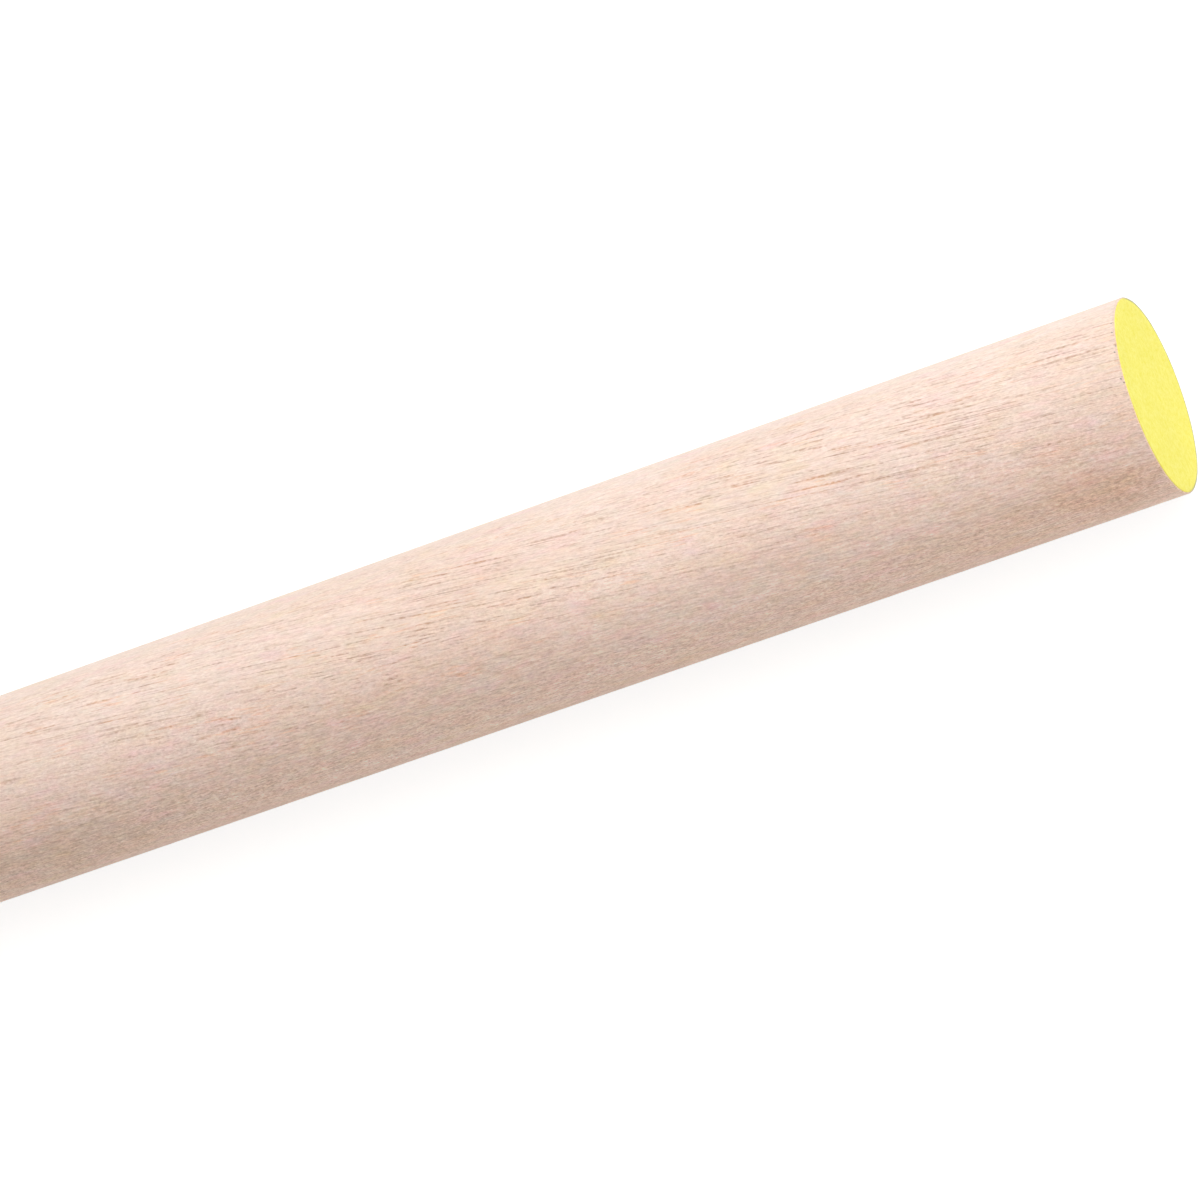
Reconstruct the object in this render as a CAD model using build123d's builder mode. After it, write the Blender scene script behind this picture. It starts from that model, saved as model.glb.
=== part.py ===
"""Wooden dowel rod: one straight length of round hardwood, sawn square at both ends."""

import os

from build123d import *

# Driving dimensions, in millimetres
rod_diameter = 25.4  # nominal 1 inch round stock
rod_length = 914.4  # nominal 36 inch stock length, from end face to end face
bare_end_break = 0.2  # radius of the worn corner round the bare end face
marked_end_break = 0.15  # the crisper corner round the end face that is dipped in marking paint

# The rod lies along X. The origin is the centre of the bare end face, and the marked end is at +X.
with BuildPart() as dowel_rod:
    with BuildSketch(Plane.YZ) as rod_section:
        Circle(rod_diameter / 2)
    extrude(amount=rod_length)

    # Sanding leaves a slight round where each sawn face meets the turned surface.
    end_rims = dowel_rod.edges().filter_by(GeomType.CIRCLE).sort_by(Axis.X)
    fillet(end_rims.first, radius=bare_end_break)
    fillet(end_rims.last, radius=marked_end_break)

dowel_rod.part.label = "dowel_rod"

os.makedirs("parts", exist_ok=True)
export_step(dowel_rod.part, "parts/dowel_rod.step")
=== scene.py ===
"""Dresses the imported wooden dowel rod: turned hardwood, a paint-marked sawn end and a plain pale studio."""

import logging
import math
from dataclasses import dataclass
from enum import Enum
from typing import Sequence, Union

import bpy
import numpy as np
from mathutils import Matrix, Vector, noise


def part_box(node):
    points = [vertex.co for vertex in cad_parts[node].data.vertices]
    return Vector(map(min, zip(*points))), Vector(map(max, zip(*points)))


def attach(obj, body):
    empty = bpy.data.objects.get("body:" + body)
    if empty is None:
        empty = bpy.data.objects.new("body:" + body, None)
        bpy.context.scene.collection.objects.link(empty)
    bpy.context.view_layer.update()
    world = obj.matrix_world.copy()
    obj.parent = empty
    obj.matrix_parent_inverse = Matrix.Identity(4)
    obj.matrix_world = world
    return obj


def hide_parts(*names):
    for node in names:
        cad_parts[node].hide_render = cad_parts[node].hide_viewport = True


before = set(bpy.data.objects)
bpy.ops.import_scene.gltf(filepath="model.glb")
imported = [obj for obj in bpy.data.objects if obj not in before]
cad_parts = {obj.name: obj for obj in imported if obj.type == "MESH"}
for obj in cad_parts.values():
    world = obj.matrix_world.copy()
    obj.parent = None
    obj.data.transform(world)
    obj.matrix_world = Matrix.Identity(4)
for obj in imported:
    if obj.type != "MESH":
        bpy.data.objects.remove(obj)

LOG = logging.getLogger("dowel_rod")
MM = 0.001
BAKE_MAP = "OFBake"
LOSS_ATTRIBUTE = "edge_loss"

Socket = bpy.types.NodeSocket
Holder = Union[bpy.types.Material, bpy.types.World]
Colour = tuple[float, float, float]
Spans = tuple[float, float, float]
Direction = tuple[float, float, float]
Numbers = Union[float, Sequence[float], Socket]
Inputs = Union[Sequence[Numbers], dict[str, Numbers], dict[int, Numbers]]

WHITE: Colour = (1.0, 1.0, 1.0)
COOL_WHITE: Colour = (0.965, 1.012, 1.042)
WARM_WHITE: Colour = (1.02, 0.94, 0.82)
LOWER_BACK: Direction = (0.0, 0.574, -0.819)  # the lower back of the rod, turned away from the camera, where painted shade darkens the marked rims


class Patch(Enum):
    """The stretches of a turned skin that are finished or laid out differently."""

    SIDE = 0
    START_FACE = 1
    FINISH_FACE = 2


def around(turn: float) -> np.ndarray:
    """Unit vector square to the rod's axis, at an angle in degrees from +Z towards -Y."""
    angle = math.radians(turn)
    return np.array([0.0, -math.sin(angle), math.cos(angle)])


def noise_at(
    places: np.ndarray, spans: Union[float, Spans] = 1.0, shift: Union[float, Spans] = 0.0
) -> np.ndarray:
    """Smooth noise, from about -1 to 1, as one number for each row of places.

    Args:
        places: One place in each row.
        spans: Typical length of a swell along each axis, in the unit of the places, and infinite along an
            axis on which it doesn't change.
        shift: Moves the pattern, in spans.

    Returns:
        The numbers.
    """
    return np.array([noise.noise(Vector(place)) for place in places / np.asarray(spans) + shift])


# The rod's space and the lie of its grain


@dataclass(frozen=True)
class RodSpace:
    """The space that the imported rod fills, in metres.

    Args:
        bare_end: Place of the bare end face along X.
        marked_end: Place of the marked end face along X.
        radius: The rod's radius.
    """

    bare_end: float
    marked_end: float
    radius: float

    @classmethod
    def from_frame(cls) -> "RodSpace":
        """Read the rod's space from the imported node."""
        low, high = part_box("dowel_rod")
        return cls(low.x, high.x, (high.y - low.y) / 2.0)

    @property
    def length(self) -> float:
        """Distance between the end faces."""
        return self.marked_end - self.bare_end

    @property
    def middle(self) -> float:
        """Place of the rod's middle along X."""
        return (self.bare_end + self.marked_end) / 2.0


@dataclass(frozen=True)
class GrainLay:
    """How the tree's grain runs through the sawn and turned stock.

    Args:
        origin: Place along X that the grain coordinates start from, in metres.
        slope: Angle between the grain and the rod's axis, in degrees.
        lean: Side of the rod that the grain runs out to, in degrees from +Z towards -Y.
        pith_turn: Side of the rod on which the tree's heart lay, in degrees from +Z towards -Y.
        pith_distance: How far off the heart lay, in millimetres.
    """

    origin: float
    slope: float = 5.5
    lean: float = 101.0
    pith_turn: float = 191.0
    pith_distance: float = 85.0

    def axes(self) -> np.ndarray:
        """Make the directions of the grain coordinates.

        Returns:
            Unit vectors as rows: along the grain, away from the heart and round the tree.
        """
        slope = math.radians(self.slope)
        along = np.array([math.cos(slope), 0.0, 0.0]) + math.sin(slope) * around(self.lean)
        growth = -around(self.pith_turn)
        growth = growth - along * (growth @ along)
        growth = growth / np.linalg.norm(growth)
        return np.stack([along, growth, np.cross(along, growth)])

    def painted_light_side(self) -> Direction:
        """Direction of the side towards which the side finish paints light, a quarter turn from the heart."""
        return tuple(around(self.pith_turn - 90.0))

    def places(self, points: np.ndarray) -> np.ndarray:
        """Points of the row frame, in metres, as grain coordinates in millimetres."""
        return (points - (self.origin, 0.0, 0.0)) @ self.axes().T / MM


# Turned meshes


@dataclass(frozen=True)
class ProfilePoint:
    """One point of a turned profile, in metres.

    Args:
        along: Place along the X axis.
        radius: Distance from the X axis, 0 at a pole.
        patch: The stretch of skin that starts at this point.
    """

    along: float
    radius: float
    patch: Patch


@dataclass(frozen=True)
class TurnedSkin:
    """A closed skin turned about the X axis, from a profile whose first and last points are on the axis.

    Args:
        profile: The points from the low pole, over the side, to the high pole.
        columns: How many steps the skin has round the axis.
    """

    profile: Sequence[ProfilePoint]
    columns: int

    def points(self) -> np.ndarray:
        """Turn the profile.

        Returns:
            Vertices as rows: the low pole, each ring in turn, then the high pole.
        """
        turns = np.linspace(0.0, 2.0 * np.pi, self.columns, endpoint=False)
        circle = np.stack([np.ones(self.columns), -np.sin(turns), np.cos(turns)], axis=1)
        low, *rings, high = self.profile
        turned = [circle * (ring.along, ring.radius, ring.radius) for ring in rings]
        return np.concatenate([[(low.along, 0.0, 0.0)], *turned, [(high.along, 0.0, 0.0)]])

    def faces(self) -> tuple[list[tuple[int, ...]], list[int]]:
        """Join the vertices by faces that look outward.

        Returns:
            The faces as vertex indices, and for each face the index of its profile step.
        """
        last_step = len(self.profile) - 2
        high_pole = 1 + last_step * self.columns
        faces: list[tuple[int, ...]] = []
        steps: list[int] = []
        for step in range(last_step + 1):
            ring = 1 + (step - 1) * self.columns
            for column in range(self.columns):
                after = (column + 1) % self.columns
                if step == 0:
                    faces.append((0, 1 + after, 1 + column))
                elif step == last_step:
                    faces.append((ring + column, ring + after, high_pole))
                else:
                    above = ring + self.columns
                    faces.append((ring + column, ring + after, above + after, above + column))
                steps.append(step)
        return faces, steps

    def profile_lengths(self) -> np.ndarray:
        """Distance travelled along the profile at each of its points, in metres."""
        flat = np.array([(point.along, point.radius) for point in self.profile])
        return np.concatenate([[0.0], np.cumsum(np.linalg.norm(np.diff(flat, axis=0), axis=1))])


def graded_stations(start: float, end: float, finest: float, coarsest: float, growth: float) -> list[float]:
    """Places between two ends that are close together at both and further apart between them.

    Args:
        start: The first place, in metres.
        end: The last place, in metres.
        finest: The first and last step.
        coarsest: The longest step allowed.
        growth: How much longer each step is than the one before it, as a ratio.

    Returns:
        The places in order, with both ends.
    """
    half = (end - start) / 2.0
    steps = [finest]
    while sum(steps) < half:
        steps.append(min(steps[-1] * growth, coarsest))
    scale = half / sum(steps)
    rising = [start]
    for step in steps:
        rising.append(rising[-1] + step * scale)
    return rising + [start + end - place for place in reversed(rising[:-1])]


def put_in_scene(name: str, data: bpy.types.ID) -> bpy.types.Object:
    """Put a mesh, a lamp or a camera into the scene.

    Args:
        name: The object's name.
        data: What it shows.

    Returns:
        The object.
    """
    thing = bpy.data.objects.new(name, data)
    bpy.context.scene.collection.objects.link(thing)
    return thing


def mesh_piece(
    name: str, skin: TurnedSkin, points: np.ndarray, corner_places: np.ndarray
) -> bpy.types.Object:
    """Make an object from a turned skin.

    Args:
        name: The piece's name.
        skin: The skin that gives the faces.
        points: Its vertices as shaped.
        corner_places: Its bake map, one row for each corner.

    Returns:
        The object, linked to the scene.
    """
    faces, _ = skin.faces()
    mesh = bpy.data.meshes.new(name)
    mesh.from_pydata(points.tolist(), [], faces)
    mesh.uv_layers.new(name=BAKE_MAP).uv.foreach_set("vector", corner_places.astype(np.float32).ravel())
    mesh.polygons.foreach_set("use_smooth", [True] * len(faces))
    mesh.validate()
    mesh.update()
    return put_in_scene(name, mesh)


# Shader nodes


class NodeSheet:
    """The node tree of a material or a world, with short calls for the nodes that it is built from."""

    def __init__(self, holder: Holder) -> None:
        """Empty the tree.

        Args:
            holder: The material or the world.
        """
        holder.use_nodes = True
        self.holder = holder
        self.tree = holder.node_tree
        self.tree.nodes.clear()

    def add(self, kind: str, values: Inputs = (), **settings: object) -> bpy.types.Node:
        """Add one node.

        Args:
            kind: The node's type.
            values: Sockets to join to its inputs, or values to set on them, in order or by name.
            settings: Its properties.

        Returns:
            The node.
        """
        node = self.tree.nodes.new(kind)
        for name, setting in settings.items():
            setattr(node, name, setting)
        named = values if isinstance(values, dict) else dict(enumerate(values))
        for place, value in named.items():
            if isinstance(value, bpy.types.NodeSocket):
                self.tree.links.new(value, node.inputs[place])
            else:
                node.inputs[place].default_value = value
        return node

    def maths(self, operation: str, *values: Numbers, clamp: bool = False) -> Socket:
        """Combine numbers with one Math node."""
        return self.add("ShaderNodeMath", values, operation=operation, use_clamp=clamp).outputs[0]

    def weigh(self, start: Numbers, *parts: tuple[Socket, Numbers]) -> Socket:
        """Add parts to a number.

        Args:
            start: The number.
            parts: Each part with its weight.

        Returns:
            The sum.
        """
        for part, weight in parts:
            start = self.maths("MULTIPLY_ADD", part, weight, start)
        return start

    def diagonal(self, *sides: Socket) -> Socket:
        """Length of the diagonal between two sides."""
        return self.maths("SQRT", self.maths("ADD", *(self.maths("POWER", side, 2.0) for side in sides)))

    def vector(self, operation: str, *values: Numbers) -> Socket:
        """Combine vectors with one Vector Math node."""
        node = self.add("ShaderNodeVectorMath", values, operation=operation)
        return node.outputs["Value" if operation == "DOT_PRODUCT" else "Vector"]

    def join(self, *parts: Numbers) -> Socket:
        """Make a vector from three numbers, or from one number used three times."""
        return self.add("ShaderNodeCombineXYZ", parts if len(parts) == 3 else parts * 3).outputs[0]

    def split(self, vector: Socket) -> tuple[Socket, ...]:
        """Take a vector apart."""
        return tuple(self.add("ShaderNodeSeparateXYZ", (vector,)).outputs)

    def place(self) -> Socket:
        """The shaded point in the row frame, in millimetres."""
        return self.vector("MULTIPLY", self.add("ShaderNodeTexCoord").outputs["Object"], (1.0 / MM,) * 3)

    def cloud(self, place: Socket, spans: Spans, detail: float = 0.0, rough: float = 0.5) -> bpy.types.Node:
        """Soft noise.

        Args:
            place: Where to read it, in millimetres.
            spans: Size of its features along the three axes of place, in millimetres.
            detail: How many finer layers it has.
            rough: How strong each finer layer is.

        Returns:
            The Noise node.
        """
        scaled = self.vector("DIVIDE", place, spans)
        values = {"Vector": scaled, "Scale": 1.0, "Detail": detail, "Roughness": rough}
        return self.add("ShaderNodeTexNoise", values, noise_dimensions="3D")

    def swell(self, place: Socket, spans: Spans, detail: float = 0.0, rough: float = 0.5) -> Socket:
        """Soft noise as one number that swings about 0, mostly between -1 and 1."""
        fac = self.cloud(place, spans, detail, rough).outputs["Fac"]
        return self.maths("MULTIPLY_ADD", fac, 4.0, -2.0)

    def ramp(
        self, value: Numbers, low: Numbers, high: Numbers, to_low: float = 0.0, to_high: float = 1.0
    ) -> Socket:
        """Carry value smoothly from to_low, where it is at low, to to_high, where it is at high."""
        values = {"Value": value, "From Min": low, "From Max": high, "To Min": to_low, "To Max": to_high}
        return self.add("ShaderNodeMapRange", values, interpolation_type="SMOOTHSTEP").outputs[0]

    def tint(
        self, colour: Union[Colour, Socket], over: Union[Colour, Socket], share: Numbers, way: str = "MIX"
    ) -> Socket:
        """Lay one colour over another.

        Args:
            colour: The colour below.
            over: The colour laid over it.
            share: How much of it is laid on, from 0 to 1.
            way: How the Mix node blends the two.

        Returns:
            The mixed colour.
        """
        below, above = (c if isinstance(c, bpy.types.NodeSocket) else (*c, 1.0) for c in (colour, over))
        values = {0: share, 6: below, 7: above}
        node = self.add("ShaderNodeMix", values, data_type="RGBA", blend_type=way, clamp_factor=True)
        return node.outputs[2]

    def gain(self, colour: Socket, gains: Union[Colour, Socket], share: Numbers = 1.0) -> Socket:
        """Multiply a colour by gains, by share."""
        return self.tint(colour, gains, share, way="MULTIPLY")

    def relief(self, height: Socket, depth: float) -> Socket:
        """Bend the surface's normal by a height, of which 1 stands for depth in metres."""
        return self.add("ShaderNodeBump", {"Height": height, "Distance": depth}).outputs[0]

    def underside(self, radius: float) -> Socket:
        """1 along the lower back of a rod of this radius in millimetres, and 0 in front."""
        low = self.vector("DOT_PRODUCT", self.place(), tuple(part / radius for part in LOWER_BACK))
        return self.ramp(low, -0.1, 0.35)

    def seen_directly(self) -> Socket:
        """1 for what the camera, a mirror or a glass shows, and 0 for the light that a surface casts.

        Returns:
            The share.
        """
        path = self.add("ShaderNodeLightPath").outputs
        seen = self.maths("MAXIMUM", path["Is Camera Ray"], path["Is Glossy Ray"])
        return self.maths("MAXIMUM", seen, path["Is Transmission Ray"])

    def finish(self, shader: Socket) -> Holder:
        """Send a shader to the surface.

        Args:
            shader: The shader.

        Returns:
            The finished material or world.
        """
        kind = "World" if isinstance(self.holder, bpy.types.World) else "Material"
        self.add("ShaderNodeOutput" + kind, {"Surface": shader})
        return self.holder

    def surface(self, colour: Socket, roughness: Numbers, normal: Socket, sheen: float = 0.0) -> Holder:
        """Finish a material with one plain surface.

        Args:
            colour: Its colour.
            roughness: How matte it is.
            normal: Its bent normal.
            sheen: How much white light it returns at a glancing angle.

        Returns:
            The finished material.
        """
        values = {"Base Color": colour, "Roughness": roughness, "Normal": normal, "Sheen Weight": sheen}
        return self.finish(self.add("ShaderNodeBsdfPrincipled", values).outputs[0])


# The wood's structure


@dataclass(frozen=True)
class GrainNodes:
    """The grain's parts as sockets of one material, from 0 to 1 or, where it says so, swinging about 0.

    Args:
        vessels: Open vessel lines.
        streaks: Fainter and finer lines between them.
        stain: Patches in which the vessels hold brown resin.
        fibre: Fine fibre streaks, about -1 to 1.
        fuzz: The short nap that sanding leaves, about -1 to 1.
        fleck: Ray flecks, about -1 to 1.
        band: Broad growth bands, about -1 to 1.
        blush: Soft patches of a warmer tone, about -1 to 1.
        hue: Small shifts of red, green and blue, each about -1 to 1.
        side: How far towards the side where the finish paints light the point lies, in millimetres.
    """

    vessels: Socket
    streaks: Socket
    stain: Socket
    fibre: Socket
    fuzz: Socket
    fleck: Socket
    band: Socket
    blush: Socket
    hue: Socket
    side: Socket


@dataclass(frozen=True)
class GrainPattern:
    """The structure of a pale, open-pored hardwood, the same solid pattern for every cut through it.

    Spans are sizes along the grain, away from the heart and round the tree, in millimetres.

    Args:
        lay: How the grain runs.
        vessel_spans: Distances between wide vessels.
        vessel_radius: A wide vessel's radius, in millimetres.
        line_spans: Spans of the narrow vessels' lines.
        streak_spans: Spans of the fainter lines.
        break_spans: Spans of the gaps in a vessel's line.
        rich_spans: Spans of the patches with many vessels.
        stain_spans: Spans of the patches that hold resin.
        fibre_spans: Spans of the fibre streaks.
        fuzz_spans: Spans of the sanded nap.
        fleck_spans: Spans of the ray flecks.
        blush_spans: Spans of the warmer patches.
        hue_spans: Spans of the shifts of hue.
        band_spans: Spans of the growth bands, the first as a share of 40 mm.
        ring_gap: Thickness of a growth ring, in millimetres.
        ring_start: Distance from the heart to the middle of a vessel-rich ring, in millimetres.
        wander: How far the grain strays from a straight line, in millimetres.
        poor_share: How much of the vessels the poorest wood keeps.
    """

    lay: GrainLay
    vessel_spans: Spans = (28.0, 0.46, 0.46)
    vessel_radius: float = 0.062
    line_spans: Spans = (16.0, 0.21, 0.21)
    streak_spans: Spans = (2.6, 0.22, 0.22)
    break_spans: Spans = (0.55, 0.4, 0.4)
    rich_spans: Spans = (40.0, 5.0, 5.0)
    stain_spans: Spans = (9.0, 1.4, 1.4)
    fibre_spans: Spans = (3.0, 0.22, 0.22)
    fuzz_spans: Spans = (0.5, 0.17, 0.17)
    fleck_spans: Spans = (0.7, 2.6, 0.2)
    blush_spans: Spans = (7.0, 2.2, 2.2)
    hue_spans: Spans = (4.2, 1.8, 1.8)
    band_spans: Spans = (1.0, 4.0, 1.0)
    ring_gap: float = 13.0
    ring_start: float = 98.0
    wander: float = 2.2
    poor_share: float = 0.2

    def _grain_place(self, sheet: NodeSheet) -> Socket:
        """The shaded point in grain coordinates, with the grain's slow and quick wander.

        Args:
            sheet: The material's nodes.

        Returns:
            The place, in millimetres.
        """
        place = sheet.vector("SUBTRACT", sheet.place(), (self.lay.origin / MM, 0.0, 0.0))
        place = sheet.join(*(sheet.vector("DOT_PRODUCT", place, tuple(axis)) for axis in self.lay.axes()))
        for spans, reach in (((110.0, 25.0, 25.0), self.wander), ((26.0, 5.0, 5.0), 0.06 * self.wander)):
            stray = sheet.vector("SUBTRACT", sheet.cloud(place, spans).outputs["Color"], (0.5, 0.5, 0.5))
            place = sheet.vector("MULTIPLY_ADD", stray, (0.0, 2.0 * reach, 2.0 * reach), place)
        return place

    def _wide_vessels(self, sheet: NodeSheet, place: Socket, broken: Socket) -> Socket:
        """The widest vessels, as scattered long thin bodies of uneven size and strength.

        Args:
            sheet: The material's nodes.
            place: The point in grain coordinates.
            broken: What interrupts them, about -1 to 1.

        Returns:
            The vessels, from 0 to 1.
        """
        values = {"Vector": sheet.vector("DIVIDE", place, self.vessel_spans), "Scale": 1.0}
        bodies = sheet.add("ShaderNodeTexVoronoi", values, voronoi_dimensions="3D", feature="F1").outputs
        size, strength, _ = sheet.split(bodies["Color"])
        reach = sheet.weigh(sheet.maths("MULTIPLY_ADD", size, 0.55, 0.45), (broken, 0.22))
        reach = sheet.maths("MULTIPLY", reach, self.vessel_radius / self.vessel_spans[1])
        outer, inner = (sheet.maths("MULTIPLY", reach, share) for share in (1.4, 0.5))
        lines = sheet.ramp(bodies["Distance"], outer, inner)
        return sheet.maths("MULTIPLY", lines, sheet.ramp(strength, 0.1, 1.0, 0.1, 0.70))

    def _narrow_vessels(self, sheet: NodeSheet, place: Socket, broken: Socket) -> Socket:
        """The lines of the narrow vessels.

        Args:
            sheet: The material's nodes.
            place: The point in grain coordinates.
            broken: What interrupts them, about -1 to 1.

        Returns:
            The lines, from 0 to 1.
        """
        lines = sheet.weigh(sheet.swell(place, self.line_spans, detail=1.0, rough=0.4), (broken, 0.16))
        kept = sheet.ramp(broken, -1.0, 0.5, 0.45, 0.95)
        return sheet.maths("MULTIPLY", sheet.ramp(lines, 0.18, 0.95), kept)

    def nodes(self, sheet: NodeSheet) -> GrainNodes:
        """Build the whole pattern in one material.

        Args:
            sheet: The material's nodes.

        Returns:
            The sockets of the pattern's parts.
        """
        place = self._grain_place(sheet)
        along, growth, round_tree = sheet.split(place)
        ring = sheet.diagonal(sheet.maths("ADD", growth, self.lay.pith_distance), round_tree)
        cycle = math.tau / self.ring_gap
        phase = sheet.maths("MULTIPLY_ADD", ring, cycle, -cycle * self.ring_start)
        patchy = sheet.swell(place, self.rich_spans, detail=1.0)
        rich = sheet.weigh(sheet.maths("MULTIPLY", sheet.maths("COSINE", phase), 0.7), (patchy, 0.45))
        rich = sheet.ramp(rich, -0.25, 0.75)
        rich = sheet.maths("MULTIPLY_ADD", rich, 1.0 - self.poor_share, self.poor_share)
        broken = sheet.swell(place, self.break_spans)
        vessels = (make(sheet, place, broken) for make in (self._wide_vessels, self._narrow_vessels))
        streaks = sheet.ramp(sheet.swell(place, self.streak_spans), 0.2, 0.9)
        arc = sheet.join(along, ring, round_tree)
        ring_place = sheet.join(sheet.maths("DIVIDE", along, 40.0), ring, 0.0)
        hue = sheet.cloud(place, self.hue_spans, detail=3.0, rough=0.85).outputs["Color"]
        return GrainNodes(
            vessels=sheet.maths("MULTIPLY", sheet.maths("MAXIMUM", *vessels), rich),
            streaks=sheet.maths("MULTIPLY", streaks, rich),
            stain=sheet.ramp(sheet.swell(place, self.stain_spans, detail=1.0), 0.0, 0.8),
            fibre=sheet.swell(place, self.fibre_spans, detail=1.0, rough=0.6),
            fuzz=sheet.swell(place, self.fuzz_spans, detail=2.0, rough=0.8),
            fleck=sheet.swell(arc, self.fleck_spans, detail=1.0),
            band=sheet.swell(ring_place, self.band_spans, detail=2.0),
            blush=sheet.swell(place, self.blush_spans, detail=2.0, rough=0.6),
            hue=sheet.vector("MULTIPLY_ADD", hue, (4.0, 4.0, 4.0), (-2.0, -2.0, -2.0)),
            side=sheet.vector("DOT_PRODUCT", sheet.place(), self.lay.painted_light_side()),
        )


# Finishes


@dataclass(frozen=True)
class SideTrend:
    """How one property of the wood changes towards one side of the rod, where the side finish paints light.

    Args:
        start: Where the change starts, in millimetres from the rod's middle.
        end: Where it ends.
        clean: The property before the start.
        toward_side: The property past the end.
    """

    start: float
    end: float
    clean: float
    toward_side: float

    def at(self, sheet: NodeSheet, parts: GrainNodes) -> Socket:
        """The property at the shaded point."""
        return sheet.ramp(parts.side, self.start, self.end, self.clean, self.toward_side)


@dataclass(frozen=True)
class SoftTint:
    """A soft-edged area of the side that handling has stained, or that is paler or duller than the rest.

    Args:
        inset: How far in from the marked end its middle lies, in millimetres.
        turn: Where its middle lies round the rod, in degrees from +Z towards -Y.
        length: How far it reaches along the rod, in millimetres.
        width: How far it reaches round the rod, in millimetres.
        gains: What it multiplies each colour by.
    """

    inset: float
    turn: float
    length: float
    width: float
    gains: Colour

    def share(self, sheet: NodeSheet, parts: GrainNodes, marked_end: float, radius: float) -> Socket:
        """How strongly the tint shows.

        Args:
            sheet: The material's nodes.
            parts: The grain, which breaks up the tint's edge.
            marked_end: Place of the marked end along X, in millimetres.
            radius: The rod's radius, in millimetres.

        Returns:
            The share, from 0 to 1.
        """
        middle = radius * around(self.turn) + (marked_end - self.inset, 0.0, 0.0)
        apart = sheet.vector("SUBTRACT", sheet.place(), tuple(middle))
        apart = sheet.vector("DIVIDE", apart, (self.length, self.width, self.width))
        far = sheet.maths("SQRT", sheet.vector("DOT_PRODUCT", apart, apart))
        far = sheet.weigh(far, (parts.blush, 0.30), (parts.fuzz, 0.35), (parts.fleck, 0.20))
        return sheet.ramp(far, 1.15, 0.15)


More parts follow.
